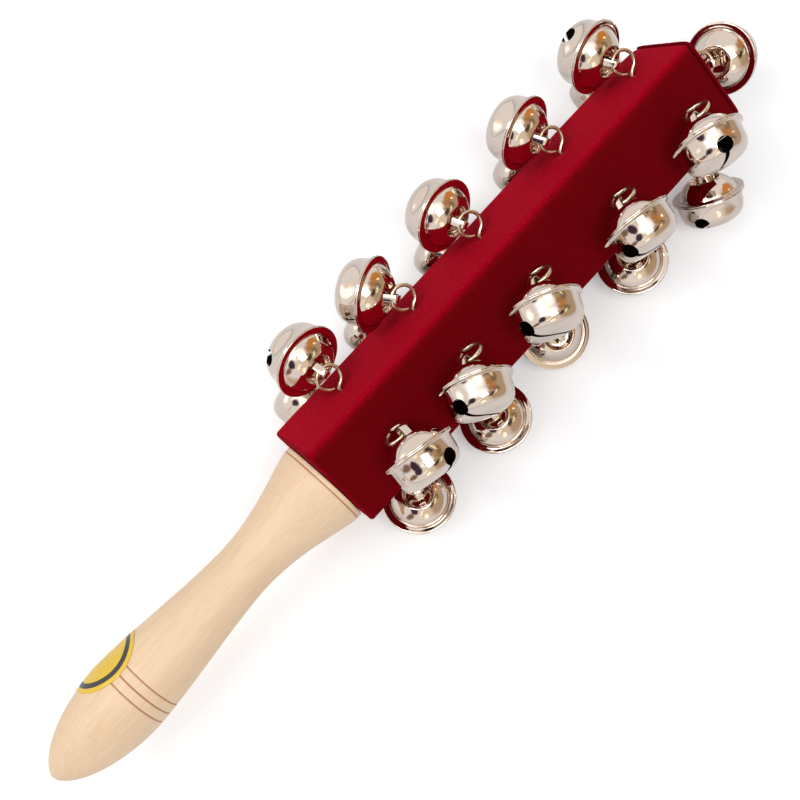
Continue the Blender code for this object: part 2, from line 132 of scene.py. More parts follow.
# How each bell hangs, as the photograph shows it: lean along its wire in degrees, slack of its strap in
# millimetres, and the turn of its slot in degrees
BELL_HANGS = {
    "top": [(-20, 1.0, 70), (10, 0.2, 95), (10, 0.7, 107), (15, 0.4, 110), (10, 0.2, 49)],
    "left": [(-1, 1.8, 50), (4, 1.2, 10), (12, 1.6, 10), (16, 1.6, 10), (21, 0.8, 122)],
    "right": [(15, 0.6, 175), (15, 0.4, 10), (10, 0.9, 155), (13, 0.7, 40), (-3, 0.4, 150)],
    "bottom": [(10, 0.3, 85), (6, 0.0, 70), (3, 0.2, 70), (3, 0.1, 70), (-9, 0.3, 160)],
    "end": [(15, 0.4, 165)],
}

# The camera in the stick's frame, solved from the photograph
CAMERA_PLACE = Vector((-15.49, 168.17, 371.31)) * MM
CAMERA_RIGHT = Vector((0.67041, -0.63522, 0.38347))
CAMERA_AHEAD = Vector((0.1248, -0.41292, -0.90218))
CAMERA_LENS = 56.16

# The room over the table, given in degrees from straight up: to the camera's right, and away from it
CAMERA_SIDE = STICK.to_3x3() @ CAMERA_RIGHT
ROOM_RIGHT = Vector((CAMERA_SIDE.x, CAMERA_SIDE.y, 0)).normalized()
ROOM_AWAY = Vector((0, 0, 1)).cross(ROOM_RIGHT)

# The lamps: place, width in metres and power in watts
LAMP_DISTANCE = 1.2
LAMPS = {"softbox_right": (15, -16, 0.5, 3.9), "softbox_left": (-20, -7, 0.4, 2.2), "key": (-38, 5, 0.3, 3.0)}

# What the metal shows of the room, one soft patch over the other: place, half width and half height, turn,
# softness of the edge, and color, where 1 is white paper
ROOM_PATCHES = {
    "warm_side": (62, 5, 38, 62, -10, 0.3, (0.62, 0.46, 0.30)),
    "orange_wall": (44, 42, 14, 24, -30, 0.3, (0.80, 0.32, 0.07)),
    "orange_foot": (38, 15, 13, 8, 20, 0.4, (0.60, 0.30, 0.11)),
    "brown_corner": (56, 14, 12, 12, 0, 0.4, (0.34, 0.23, 0.13)),
    "dark_door": (41, -16, 7, 15, -20, 0.3, (0.09, 0.057, 0.043)),
    "gold_strip": (55, -3, 4, 13, -10, 0.4, (1.3, 1.25, 0.75)),
    "gold_lamp": (53, 36, 3, 3, 0, 0.5, (2.2, 2.1, 1.6)),
    "pale_front": (22, -45, 24, 22, 0, 0.4, (1.0, 0.88, 0.68)),
    "front_window": (25, -62, 8, 9, 0, 0.4, (1.9, 1.75, 1.45)),
    "front_gap": (6, -50, 4, 12, -25, 0.4, (1.7, 1.6, 1.3)),
    "brown_floor": (-38, -64, 17, 11, 30, 0.4, (0.3, 0.18, 0.12)),
    "white_side": (-68, -5, 12, 24, 15, 0.4, (2.0, 1.95, 1.9)),
    "cream_side": (-63, 20, 5, 6, 0, 0.6, (1.6, 1.2, 0.85)),
    "white_ceiling": (-5, -8, 30, 16, 20, 0.4, (1.9, 1.85, 1.8)),
    "lens": (-2, -17, 3, 4, 0, 0.4, (0.6, 0.5, 0.45)),
    "dark_figure": (-20, -42, 13, 15, 15, 0.25, (0.07, 0.04, 0.065)),
}


def link(thing):
    bpy.context.scene.collection.objects.link(thing)
    return thing


def new_piece(name, mesh, finish, body, place=None):
    """A finished piece on its CAD body, with its place in its own mesh."""
    if place is not None:
        mesh = mesh.copy()
        mesh.transform(place)
    piece = link(bpy.data.objects.new(name, mesh))
    if not mesh.materials:
        mesh.materials.append(finish)
    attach(piece, body)
    return piece


def mesh_of(name, shape, degrees=35):
    bmesh.ops.recalc_face_normals(shape, faces=shape.faces)
    mesh = bpy.data.meshes.new(name)
    shape.to_mesh(mesh)
    shape.free()
    mesh.shade_smooth()
    mesh.set_sharp_from_angle(angle=math.radians(degrees))
    return mesh


def bridge(shape, rings):
    for first, second in zip(rings, rings[1:]):
        count = len(first)
        for i in range(count):
            j = (i + 1) % count
            shape.faces.new((first[i], first[j], second[j], second[i]))


def curve_through(points, steps):
    """A smooth run of points through the given ones, with steps between each pair."""
    padded = [points[0] * 2 - points[1]] + points + [points[-1] * 2 - points[-2]]
    run = []
    for a, b, c, d in zip(padded, padded[1:], padded[2:], padded[3:]):
        for step in range(steps):
            t = step / steps
            run.append(0.5 * (2 * b + (c - a) * t + (2 * a - 5 * b + 4 * c - d) * t * t
                              + (3 * b - a - 3 * c + d) * t ** 3))
    run.append(points[-1])
    return run


def lathe(profile, sides, name, axis="Z", degrees=35):
    """Turn a profile of (radius, height) about an axis. A radius of 0 closes the end."""
    shape = bmesh.new()
    rings = []
    tips = []
    for radius, height in profile:
        if radius < 1e-6:
            tips.append((len(rings), height))
            continue
        ring = []
        for i in range(sides):
            angle = 2 * math.pi * i / sides
            u, v = radius * math.cos(angle), radius * math.sin(angle)
            ring.append(shape.verts.new((height, u, v) if axis == "X" else (u, v, height)))
        rings.append(ring)
    bridge(shape, rings)
    for place, height in tips:
        ring = rings[0] if place == 0 else rings[-1]
        tip = shape.verts.new((height, 0, 0) if axis == "X" else (0, 0, height))
        for i in range(sides):
            shape.faces.new((ring[i], ring[(i + 1) % sides], tip))
    return mesh_of(name, shape, degrees)


def applied(thing, name):
    """The object's mesh with its modifiers applied. The object goes."""
    bpy.context.view_layer.update()
    graph = bpy.context.evaluated_depsgraph_get()
    mesh = bpy.data.meshes.new_from_object(thing.evaluated_get(graph))
    mesh.name = name
    bpy.data.objects.remove(thing, do_unlink=True)
    return mesh


def smooth_step(share):
    return (1 - math.cos(math.pi * share)) / 2


def fade(distance, reach):
    return math.exp(-(distance / reach) ** 2)


def grey(value):
    return (value, value, value)


class Nodes:
    """A material's or the world's node tree, with short calls for adding and linking nodes."""

    def __init__(self, owner, shader="Principled BSDF"):
        self.owner = owner
        owner.use_nodes = True
        self.tree = owner.node_tree
        self.shader = self.tree.nodes[shader]

    def add(self, kind, **settings):
        node = self.tree.nodes.new(kind)
        for key, value in settings.items():
            setattr(node, key, value)
        return node

    def join(self, source, target):
        self.tree.links.new(source, target)

    def feed(self, source, name):
        self.join(source, self.shader.inputs[name])

    def set(self, **values):
        for key, value in values.items():
            self.shader.inputs[key.replace("_", " ")].default_value = value

    def coordinates(self, scale=(1, 1, 1)):
        place = self.add("ShaderNodeTexCoord")
        mapping = self.add("ShaderNodeMapping")
        mapping.inputs["Scale"].default_value = scale
        self.join(place.outputs["Object"], mapping.inputs["Vector"])
        return mapping.outputs["Vector"]

    def noise(self, vector, scale, detail=2.0, roughness=0.5, distortion=0.0):
        node = self.add("ShaderNodeTexNoise")
        self.join(vector, node.inputs["Vector"])
        node.inputs["Scale"].default_value = scale
        node.inputs["Detail"].default_value = detail
        node.inputs["Roughness"].default_value = roughness
        node.inputs["Distortion"].default_value = distortion
        return node.outputs["Fac"]

    def ramp(self, factor, stops):
        node = self.add("ShaderNodeValToRGB")
        self.join(factor, node.inputs["Fac"])
        elements = node.color_ramp.elements
        while len(elements) < len(stops):
            elements.new(0.5)
        for element, (place, color) in zip(elements, stops):
            element.position = place
            element.color = (*color, 1)
        return node.outputs["Color"]

    def math(self, operation, first, second):
        node = self.add("ShaderNodeMath", operation=operation)
        for socket, value in zip(node.inputs, (first, second)):
            if isinstance(value, (int, float)):
                socket.default_value = value
            else:
                self.join(value, socket)
        return node.outputs["Value"]

    def vector(self, operation, first, second):
        """A vector sum. What it gives is a number for a dot product or a length, and else a vector."""
        node = self.add("ShaderNodeVectorMath", operation=operation)
        for socket, value in zip(node.inputs, (first, second)):
            if isinstance(value, bpy.types.NodeSocket):
                self.join(value, socket)
            else:
                socket.default_value = value
        return node.outputs["Value" if operation in ("DOT_PRODUCT", "LENGTH") else "Vector"]

    def remap(self, value, low, high, first, last):
        node = self.add("ShaderNodeMapRange", interpolation_type="SMOOTHSTEP")
        self.join(value, node.inputs["Value"])
        for name, number in (("From Min", low), ("From Max", high), ("To Min", first), ("To Max", last)):
            node.inputs[name].default_value = number
        return node.outputs["Result"]

    def mix(self, factor, first, second, blend="MIX"):
        """Mix two colours. Each of them and the factor is a socket or a plain value."""
        node = self.add("ShaderNodeMix", data_type="RGBA", blend_type=blend)
        for name, value in (("Factor", factor), ("A", first), ("B", second)):
            socket = next(socket for socket in node.inputs if socket.name == name and socket.enabled)
            if isinstance(value, bpy.types.NodeSocket):
                self.join(value, socket)
            elif name == "Factor":
                socket.default_value = value
            else:
                socket.default_value = (*value, 1)
        return next(socket for socket in node.outputs if socket.enabled)

    def bump(self, height, strength, distance):
        node = self.add("ShaderNodeBump")
        self.join(height, node.inputs["Height"])
        node.inputs["Strength"].default_value = strength
        node.inputs["Distance"].default_value = distance
        self.feed(node.outputs["Normal"], "Normal")


def new_material(name):
    return Nodes(bpy.data.materials.new(name))


def nickel_material():
    made = new_material("polished_nickel")
    made.set(Metallic=1.0)
    spot = made.coordinates()
    film = made.noise(spot, 120, 3.0)
    made.feed(made.ramp(film, [(0.3, (0.62, 0.53, 0.465)), (0.7, (0.66, 0.57, 0.505))]), "Base Color")
    haze = made.noise(spot, 260, 4.0, 0.6)
    made.feed(made.ramp(haze, [(0.35, grey(0.04)), (0.75, grey(0.12))]), "Roughness")
    made.bump(made.noise(spot, 180, 1.0), 0.12, 0.0003)
    return made.owner


def shaded_inside_material():
    """The bells' inner walls: dull bare metal, with a near-black colour that is painted shade of the closed
    inside.
    """
    made = new_material("dull_inside_painted_shade")
    made.set(Metallic=1.0)
    stain = made.noise(made.coordinates(), 300, 3.0)
    made.feed(made.ramp(stain, [(0.3, (0.06, 0.045, 0.035)), (0.7, (0.11, 0.09, 0.07))]), "Base Color")
    made.feed(made.ramp(stain, [(0.3, grey(0.6)), (0.7, grey(0.45))]), "Roughness")
    return made.owner


def wire_material():
    made = new_material("plated_wire")
    made.set(Metallic=1.0)
    wear = made.noise(made.coordinates(), 500, 3.0)
    made.feed(made.ramp(wear, [(0.3, (0.46, 0.38, 0.25)), (0.65, (0.70, 0.62, 0.48))]), "Base Color")
    made.feed(made.ramp(wear, [(0.3, grey(0.36)), (0.7, grey(0.16))]), "Roughness")
    return made.owner


def pellet_material():
    made = new_material("pellet_steel")
    made.set(Metallic=1.0)
    wear = made.noise(made.coordinates(), 600, 2.0)
    made.feed(made.ramp(wear, [(0.3, grey(0.35)), (0.7, grey(0.5))]), "Base Color")
    made.feed(made.ramp(wear, [(0.3, grey(0.3)), (0.7, grey(0.45))]), "Roughness")
    return made.owner


def velvet_material():
    """Crimson pile with painted sheen. A mesh attribute from 0 to 1 holds painted sheen: the colour is painted
    lighter where light would catch the pile, most on the left face.
    """
    made = new_material("red_velvet")
    made.set(Roughness=0.95, Sheen_Weight=0.25, Sheen_Roughness=0.4, Sheen_Tint=(1.0, 0.03, 0.08, 1.0))
    made.set(Specular_IOR_Level=0.05)
    spot = made.coordinates()
    painted_sheen = made.add("ShaderNodeAttribute", attribute_name="painted_sheen").outputs["Fac"]
    strokes = made.noise(spot, 60, 3.0, 0.6, 0.4)
    pile = made.noise(spot, 1700, 2.0, 0.7)
    # painted sheen lifts the pile colour up the ramp; the strokes are random tone of the pile
    sheen_and_strokes = made.math("ADD", painted_sheen, made.remap(strokes, 0.3, 0.7, -0.06, 0.06))
    level = made.math("ADD", sheen_and_strokes, made.remap(pile, 0.25, 0.75, -0.16, 0.16))
    color = made.ramp(level, [(0.0, (0.13, 0.0, 0.002)), (0.35, (0.19, 0.0, 0.004)), (1.0, (0.36, 0.0, 0.010))])
    # painted glints: light specks of pile catching the light, shown only as far as sheen is painted
    painted_glints = made.remap(made.noise(spot, 2300, 1.0), 0.66, 0.76, 0.0, 0.6)
    shown_glints = made.math("MULTIPLY", painted_glints, painted_sheen)
    made.feed(made.mix(shown_glints, color, (0.72, 0.05, 0.1)), "Base Color")
    made.bump(pile, 0.5, 0.0003)
    return made.owner


def wood_material(name, light, dark, burnt=()):
    """Pale close-grained wood with its grain along X. burnt holds the X places of burnt rings."""
    made = new_material(name)
    made.set(Coat_Weight=0.15, Coat_Roughness=0.35)
    grain = made.noise(made.coordinates((4, 60, 60)), 14, 5.0, 0.55, 0.5)
    color = made.ramp(grain, [(0.3, dark), (0.65, light)])
    clouds = made.noise(made.coordinates((1, 2, 2)), 30, 2.0)
    color = made.mix(1.0, color, made.ramp(clouds, [(0.3, (0.95, 0.93, 0.90)), (0.7, grey(1.0))]), "MULTIPLY")
    pores = made.noise(made.coordinates((12, 400, 400)), 8, 2.0, 0.5)
    color = made.mix(1.0, color, made.ramp(pores, [(0.3, grey(0.93)), (0.42, grey(1.0))]), "MULTIPLY")
    if burnt:
        place = made.add("ShaderNodeTexCoord")
        split = made.add("ShaderNodeSeparateXYZ")
        made.join(place.outputs["Object"], split.inputs["Vector"])
        for x in burnt:
            away = made.math("ABSOLUTE", made.math("SUBTRACT", split.outputs["X"], x), 0)
            band = made.remap(away, 0.2 * BURNT_WIDTH, 0.7 * BURNT_WIDTH, 0.85, 0.0)
            color = made.mix(band, color, (0.36, 0.12, 0.03))
    made.feed(color, "Base Color")
    made.feed(made.ramp(grain, [(0.3, grey(0.55)), (0.7, grey(0.45))]), "Roughness")
    made.bump(pores, 0.1, 0.0001)
    return made.owner


def paper_material(name, color):
    made = new_material(name)
    made.set(Roughness=0.45, Coat_Weight=0.3, Coat_Roughness=0.2)
    print_grain = made.noise(made.coordinates(), 900, 2.0)
    shade = tuple(0.92 * part for part in color)
    made.feed(made.ramp(print_grain, [(0.35, shade), (0.65, color)]), "Base Color")
    return made.owner


def handle_radius(back):
    """The handle's radius at a distance back from the block."""
    if back <= COLLAR_LENGTH:
        return COLLAR_RADIUS
    if back <= NECK_PLACE:
        share = (back - COLLAR_LENGTH) / (NECK_PLACE - COLLAR_LENGTH)
        return COLLAR_RADIUS + (NECK_RADIUS - COLLAR_RADIUS) * smooth_step(share ** NECK_SWEEP)
    if back <= BELLY_PLACE:
        share = (back - NECK_PLACE) / (BELLY_PLACE - NECK_PLACE)
        rise = (share + smooth_step(share)) / 2
        return NECK_RADIUS + (BELLY_RADIUS - NECK_RADIUS) * rise
    share = (back - BELLY_PLACE) / (HANDLE_LENGTH - BELLY_PLACE)
    return BELLY_RADIUS * max(0.0, 1 - share * share) ** TIP_POWER


def groove(back, place, width, depth):
    """How far a turned groove cuts into the handle at a distance back from the block."""
    away = abs(back - place) / (width / 2)
    return depth * (1 - away * away) if away < 1 else 0.0


def make_handle():
    chamfer = 0.8 * MM
    corner = 0.35 * MM
    profile = [(0, TENON_LENGTH), (TENON_RADIUS - chamfer, TENON_LENGTH), (TENON_RADIUS, TENON_LENGTH - chamfer),
               (TENON_RADIUS, -SEAT_GAP), (COLLAR_RADIUS - corner, -SEAT_GAP),
               (COLLAR_RADIUS - 0.3 * corner, -SEAT_GAP - 0.3 * corner), (COLLAR_RADIUS, -SEAT_GAP - corner)]
    count = 420
    first = SEAT_GAP + corner
    for step in range(1, count):
        back = first + (HANDLE_LENGTH - first) * math.sin(step / count * math.pi / 2)
        radius = handle_radius(back)
        for line in BURNT_LINES:
            radius -= groove(back, line, BURNT_WIDTH, BURNT_DEPTH)
        profile.append((radius, -back))
    profile.append((0, -HANDLE_LENGTH))
    mesh = lathe(profile, 96, "handle_turned", "X", 50)
    mesh.transform(STICK @ Matrix.Translation(HANDLE_OFFSET))
    near = STICK.translation.x
    wood = wood_material("pale_turned_wood", (0.82, 0.60, 0.40), (0.77, 0.54, 0.34),
                         [near - line for line in BURNT_LINES])
    piece = new_piece("handle_turned", mesh, wood, "stick")
    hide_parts("handle")


def make_disc():
    """A plain round paper disc stuck on the handle's belly, with a dark ring, where a label sits."""
    yellow = paper_material("disc_yellow", (0.80, 0.52, 0.03))
    black = paper_material("disc_black", (0.02, 0.02, 0.02))
    shape = bmesh.new()
    rings = []
    sides = 64
    for share in (0.02, 0.2, 0.4, 0.6, 0.72, 0.74, 0.86, 0.88, 0.94, 1.0):
        ring = []
        for i in range(sides):
            angle = 2 * math.pi * i / sides
            back = DISC_PLACE + share * DISC_RADIUS * math.cos(angle)
            arc = share * DISC_RADIUS * math.sin(angle)
            radius = handle_radius(back) + 0.12 * MM
            turn = DISC_TURN + arc / radius
            ring.append(shape.verts.new((-back, radius * math.cos(turn), radius * math.sin(turn))))
        rings.append(ring)
    bridge(shape, rings)
    shape.faces.new(rings[0])
    for face in shape.faces:
        middle = face.calc_center_median()
        back = -middle.x - DISC_PLACE
        turn = math.atan2(middle.z, middle.y) - DISC_TURN
        reach = math.hypot(back, turn * handle_radius(-middle.x)) / DISC_RADIUS
        face.material_index = 1 if 0.73 < reach < 0.87 else 0
    mesh = mesh_of("handle_disc", shape, 180)
    mesh.materials.append(yellow)
    mesh.materials.append(black)
    mesh.transform(STICK @ Matrix.Translation(HANDLE_OFFSET))
    piece = new_piece("handle_disc", mesh, yellow, "stick")
    thick = piece.modifiers.new("paper", "SOLIDIFY")
    thick.thickness = 0.08 * MM
    thick.offset = 0


def sweep(name, path, sections, degrees):
    """A closed bar along a path. Each section is its outline at one path point, as (across, out) pairs."""
    across = Vector((0, 1, 0)) if abs(path[0].y - path[-1].y) < 1e-9 else Vector((1, 0, 0))
    shape = bmesh.new()
    rings = []
    for i, (point, section) in enumerate(zip(path, sections)):
        before, after = path[max(i - 1, 0)], path[min(i + 1, len(path) - 1)]
        out = (after - before).normalized().cross(across)
        rings.append([shape.verts.new(point + across * u + out * v) for u, v in section])
    bridge(shape, rings)
    shape.faces.new(rings[0])
    shape.faces.new(rings[-1])
    return mesh_of(name, shape, degrees)


def round_section(radius):
    return [(radius * math.cos(math.pi * k / 7), radius * math.sin(math.pi * k / 7)) for k in range(14)]


def eye_mesh(name, height):
    """A screw eye: its shank down -Z from the velvet, and an open ring in the XZ plane."""
    depth = EYE_LENGTH - height
    bend = height - EYE_RADIUS - NECK_BEND
    path = []
    radii = []
    for step in range(9):
        path.append(Vector((0, 0, -depth + (depth + bend) * step / 8)))
        radii.append(WIRE_RADIUS * min(1.0, 0.3 + 3.0 * step / 8))
    first = -math.pi / 2 + EYE_GAP_ANGLE / 2
    turn = 2 * math.pi - EYE_GAP_ANGLE
    steps = 60
    for step in range(steps + 1):
        angle = first + turn * step / steps
        path.append(Vector((EYE_RADIUS * math.cos(angle), 0, height + EYE_RADIUS * math.sin(angle))))
        radii.append(WIRE_RADIUS * (1 - 0.4 * max(0.0, (step - 0.94 * steps) / (0.06 * steps))))
    return sweep(name, path, [round_section(radius) for radius in radii], 60)


def thickened(mesh, finishes, name):
    """A closed shell: the mesh's surface with a wall grown inwards, and an outer and an inner finish."""
    for finish in finishes:
        mesh.materials.append(finish)
    thing = link(bpy.data.objects.new(name, mesh))
    solid = thing.modifiers.new("wall", "SOLIDIFY")
    solid.thickness = WALL
    solid.offset = -1
    solid.material_offset = 1
    return applied(thing, name)


def from_pivot(profile):
    return [(radius, PIVOT_TO_RIM - height) for radius, height in profile]


def cup_mesh(finishes):
    """The lower shell: a deep cup with a flange, one slot across its bottom and a hole at each end of the slot."""
    flange = [Vector((RIM_RADIUS - 0.08 * MM, -0.04 * MM)), Vector((RIM_RADIUS, -0.3 * MM)),
              Vector((RIM_RADIUS - 0.12 * MM, -0.52 * MM)), Vector((CUP_RADIUS + 0.5 * MM, -0.75 * MM)),
              Vector((CUP_RADIUS + 0.12 * MM, -1.2 * MM))]
    profile = [(point.x, point.y) for point in curve_through(flange, 3)]
    steps = 30
    for step in range(steps + 1):
        angle = math.radians(12 + 78 * step / steps)
        radius = CUP_RADIUS * math.cos(angle) ** (2 / CUP_ROUNDNESS)
        depth = CUP_DEPTH * math.sin(angle) ** (2 / CUP_ROUNDNESS)
        profile.append((radius if step < steps else 0, -depth))
    profile = [point for point in profile if point[0] == 0 or point[0] > 0.3 * MM]
    mesh = thickened(lathe(from_pivot(profile), 72, "cup", "Z", 60), finishes, "cup_shell")
    body = link(bpy.data.objects.new("cup", mesh))
    cutters = slot_cutters()
    for cutter in cutters:
        boolean = body.modifiers.new("cut", "BOOLEAN")
        boolean.operation = "DIFFERENCE"
        boolean.solver = "EXACT"
        boolean.object = cutter
    done = applied(body, "bell_cup")
    for cutter in cutters:
        bpy.data.objects.remove(cutter, do_unlink=True)
    done.shade_smooth()
    done.set_sharp_from_angle(angle=math.radians(40))
    return done


def slot_cutters():
    """A round cutter for each hole, and between them a slit that is narrower in the middle."""
    cutters = []
    for side in (-1, 1):
        inside = Vector((0, 0, PIVOT_TO_RIM + 0.2 * HOLE_DROP))
        wall = Vector((side * CUP_RADIUS * 0.955, 0, PIVOT_TO_RIM + HOLE_DROP))
        turn = (wall - inside).to_track_quat("Z", "Y").to_matrix().to_4x4()
        shape = bmesh.new()
        bmesh.ops.create_cone(shape, cap_ends=True, segments=36, radius1=HOLE_RADIUS, radius2=HOLE_RADIUS,
                              depth=0.9 * CUP_RADIUS, matrix=Matrix.Translation(wall) @ turn)
        cutters.append(link(bpy.data.objects.new("hole", mesh_of("hole", shape))))
    reach, wide, narrow = 0.9 * CUP_RADIUS, SLOT_WIDTH / 2, SLOT_NARROW / 2
    outline = [(reach, wide), (0, narrow), (-reach, wide), (-reach, -wide), (0, -narrow), (reach, -wide)]
    low = PIVOT_TO_RIM + HOLE_DROP
    shape = bmesh.new()
    rings = [[shape.verts.new((x, y, z)) for x, y in outline] for z in (low, low + CUP_DEPTH)]
    bridge(shape, rings)
    shape.faces.new(rings[0])
    shape.faces.new(rings[1])
    cutters.append(link(bpy.data.objects.new("slot", mesh_of("slot", shape))))
    return cutters


def crown_height(radius):
    """The crown is a zone of a ball as wide as the cup: its height above the rim at a radius."""
    top = math.sqrt(CUP_RADIUS ** 2 - LIP_RADIUS ** 2)
    return CROWN_HEIGHT - top + math.sqrt(CUP_RADIUS ** 2 - radius ** 2)


def crown_mesh(finishes):
    """The upper shell: a flat flange, a dome that rounds over a lip, and a dish where the strap stands."""
    points = [(12.62, 0.04), (12.7, 0.3), (12.58, 0.52), (12.2, 0.6), (11.4, 0.62), (10.75, 0.68)]
    for radius in (10.3, 9.9, 9.4, 8.8, 8.1, 7.4, 6.7, 6.0):
        points.append((radius, crown_height(radius * MM) / MM))
    points += [(5.5, 5.72), (5.2, 5.6), (4.9, 5.0), (4.75, 4.2), (4.45, 3.5), (3.8, 3.3), (2.2, 3.3), (0.4, 3.3)]
    run = [(point.x * MM, point.y * MM) for point in curve_through([Vector(point) for point in points], 4)]
    run.append((0, DISH_HEIGHT))
    done = thickened(lathe(from_pivot(run), 72, "crown", "Z", 60), finishes, "bell_crown")
    done.shade_smooth()
    done.set_sharp_from_angle(angle=math.radians(50))
    return done


def strap_mesh():
    """The flat strap over the wire, with legs that spread into the dish."""
    middle = STRAP_BORE - WIRE_RADIUS - HANG_GAP
    reach = STRAP_BORE + STRAP_THICKNESS / 2
    foot = Vector((STRAP_SPREAD, PIVOT_TO_RIM - DISH_HEIGHT + 0.2 * MM - middle))
    spread = math.atan2(foot.x, foot.y) - math.asin(reach / foot.length)
    start = Vector((math.cos(spread), -math.sin(spread))) * reach
    flat = [foot.lerp(start, step / 4) for step in range(4)]
    steps = 24
    for step in range(steps + 1):
        turn = spread + (math.pi - 2 * spread) * step / steps
        flat.append(Vector((math.cos(turn), -math.sin(turn))) * reach)
    flat += [Vector((-point.x, point.y)) for point in flat[3::-1]]
    path = [Vector((0, point.x, middle + point.y)) for point in flat]
    half, thick, edge = STRAP_WIDTH / 2, STRAP_THICKNESS / 2, 0.18 * MM
    section = []
    for side_u, side_v, start in ((1, 1, 0), (-1, 1, 90), (-1, -1, 180), (1, -1, 270)):
        for turn in (0, 45, 90):
            angle = math.radians(start + turn)
            section.append((side_u * (half - edge) + edge * math.cos(angle),
                            side_v * (thick - edge) + edge * math.sin(angle)))
    return sweep("bell_strap", path, [section] * len(path), 40)


def hinge_matrix(joint, normal):
    axis = Vector(joint["axis"])
    across = normal.cross(axis).normalized()
    turn = Matrix((axis, across, axis.cross(across))).transposed().to_4x4()
    return Matrix.Translation(joint["pos_m"]) @ turn


def eye_height(middle, face):
    """How high the middle of an eye's ring stands over the velvet."""
    face_distance = END_FACE if face == "end" else VELVET_HALF
    return (middle - STICK.translation).dot(FACES[face]) - face_distance


def make_bells(nickel, inside, wire, pellet_steel):
    finishes = (nickel, inside)
    cup, crown, strap = cup_mesh(finishes), crown_mesh(finishes), strap_mesh()
    ball = bmesh.new()
    bmesh.ops.create_icosphere(ball, subdivisions=4, radius=PELLET_RADIUS)
    ball = mesh_of("pellet_ball", ball, 180)
    eyes = {}
    feet = []
    for joint in frame["joints"]:
        key = joint["name"].removeprefix("swing_")
        face, number = key.split("_")
        normal = FACES[face]
        hinge = hinge_matrix(joint, normal)
        rest = -math.radians(sum(joint["range_deg"])) / 2
        lean, slack, slot_turn = BELL_HANGS[face][int(number) - 1]
        place = hinge @ Matrix.Rotation(rest, 4, "X") @ Matrix.Rotation(math.radians(lean), 4, "Y")
        place = place @ Matrix.Translation((0, 0, -slack * MM))
        turned = place @ Matrix.Rotation(math.radians(slot_turn), 4, "Z")
        body = joint["child"]
        lower = new_piece(f"bell_cup_{key}", cup, nickel, body, turned)
        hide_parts(f"bell_{key}")
        new_piece(f"bell_crown_{key}", crown, nickel, body, place)
        new_piece(f"bell_strap_{key}", strap, nickel, body, place)
        pellet = new_piece(f"bell_pellet_{key}", ball, pellet_steel, body,
                           place @ Matrix.Translation((0, 0, PELLET_PLACE)))
        if f"pellet_{key}" in frame["nodes"]:
            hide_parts(f"pellet_{key}")

        middle = hinge @ Vector((0, 0, -EYE_RADIUS))
        height = eye_height(middle, face)
        if face not in eyes:
            eyes[face] = eye_mesh(f"screw_eye_{face}", height)
        across = hinge.to_3x3() @ Vector((0, 1, 0))
        turn = Matrix((across.cross(normal), across, normal)).transposed().to_4x4()
        foot = middle - normal * height
        eye = new_piece(f"eye_{key}", eyes[face], wire, "stick", Matrix.Translation(foot) @ turn)
        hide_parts(f"screw_eye_{key}")
        feet.append(STICK.inverted() @ foot)
    return feet


def square_ring(half, rounding, count):
    """Points round a rounded square in the YZ plane, evenly spaced, with their outward directions."""
    straight = 2 * (half - rounding)
    arc = math.pi * rounding / 2
    quarter = straight + arc
    points = []
    for i in range(count):
        along = 4 * quarter * (i + 0.5) / count
        side, rest = int(along // quarter), along % quarter
        if rest < straight:
            point = Vector((0, half, rest - straight / 2))
            direction = Vector((0, 1, 0))
        else:
            angle = (rest - straight) / rounding
            direction = Vector((0, math.cos(angle), math.sin(angle)))
            point = Vector((0, half - rounding, half - rounding)) + direction * rounding
        turn = Matrix.Rotation(math.radians(90 * side), 3, "X")
        points.append((turn @ point, turn @ direction))
    return points


def skin_point(x, point, direction, feet):
    """A point of the wrap's outside: soft swell, a dimple at each eye, and corners that droop at the far end."""
    spot = Vector((x, point.y, point.z))
    dip = SWELL * (1 - noise.noise(spot * 60))
    for foot in feet:
        dip += DIMPLE * fade((spot - foot).length, DIMPLE_REACH)
    corner = abs(point.y * point.z / VELVET_HALF ** 2) ** 8
    droop = CORNER_DROOP * corner * math.exp((x - VELVET_LENGTH) / (4 * MM))
    return spot - direction * dip - Vector((0, point.y, point.z)).normalized() * droop


def wrap_rows(feet):
    """Rows of points over the wrap: the outside, the turned-over near end, its bore and the inside."""
    count = 176
    length_count = 220
    around = square_ring(VELVET_HALF, VELVET_ROUND, count)
    rows = []
    for step in range(length_count + 1):
        x = VELVET_LENGTH + (VELVET_ROUND - VELVET_LENGTH) * step / length_count
        near = [foot for foot in feet if abs(foot.x - x) < 3 * DIMPLE_REACH]
        cut_edge = 0.3 * MM * fade(VELVET_LENGTH - x, 0.7 * MM)
        rows.append([skin_point(x, point, direction, near) - direction * cut_edge for point, direction in around])
    swelled = [place - Vector((place.x, point.y, point.z)) for place, (point, direction) in zip(rows[-1], around)]
    edge = []
    for step in range(1, 5):
        angle = math.radians(90 * step / 4)
        for sink, (point, direction) in zip(swelled, around):
            ragged = 0.1 * MM * (1 + noise.noise(point * 400))
            place = point + sink - direction * VELVET_ROUND * (1 - math.cos(angle))
            edge.append(place + ALONG * (VELVET_ROUND * (1 - math.sin(angle)) + ragged * math.sin(angle)))
        rows.append(edge[-count:])
    bore = []
    for point, direction in around:
        turn = math.atan2(point.z, point.y)
        bore.append(HANDLE_OFFSET + Vector((0, math.cos(turn), math.sin(turn))) * BORE_RADIUS)
    for share in (0.3, 0.7, 1.0):
        rows.append([place.lerp(hole, share) for place, hole in zip(edge[-count:], bore)])
    inside = [point - direction * VELVET_THICKNESS for point, direction in around]
    rows.append([hole + ALONG * VELVET_THICKNESS for hole in bore])
    rows.append([place + ALONG * VELVET_THICKNESS for place in inside])
    rows.append([place + ALONG * VELVET_LENGTH for place in inside])
    return rows


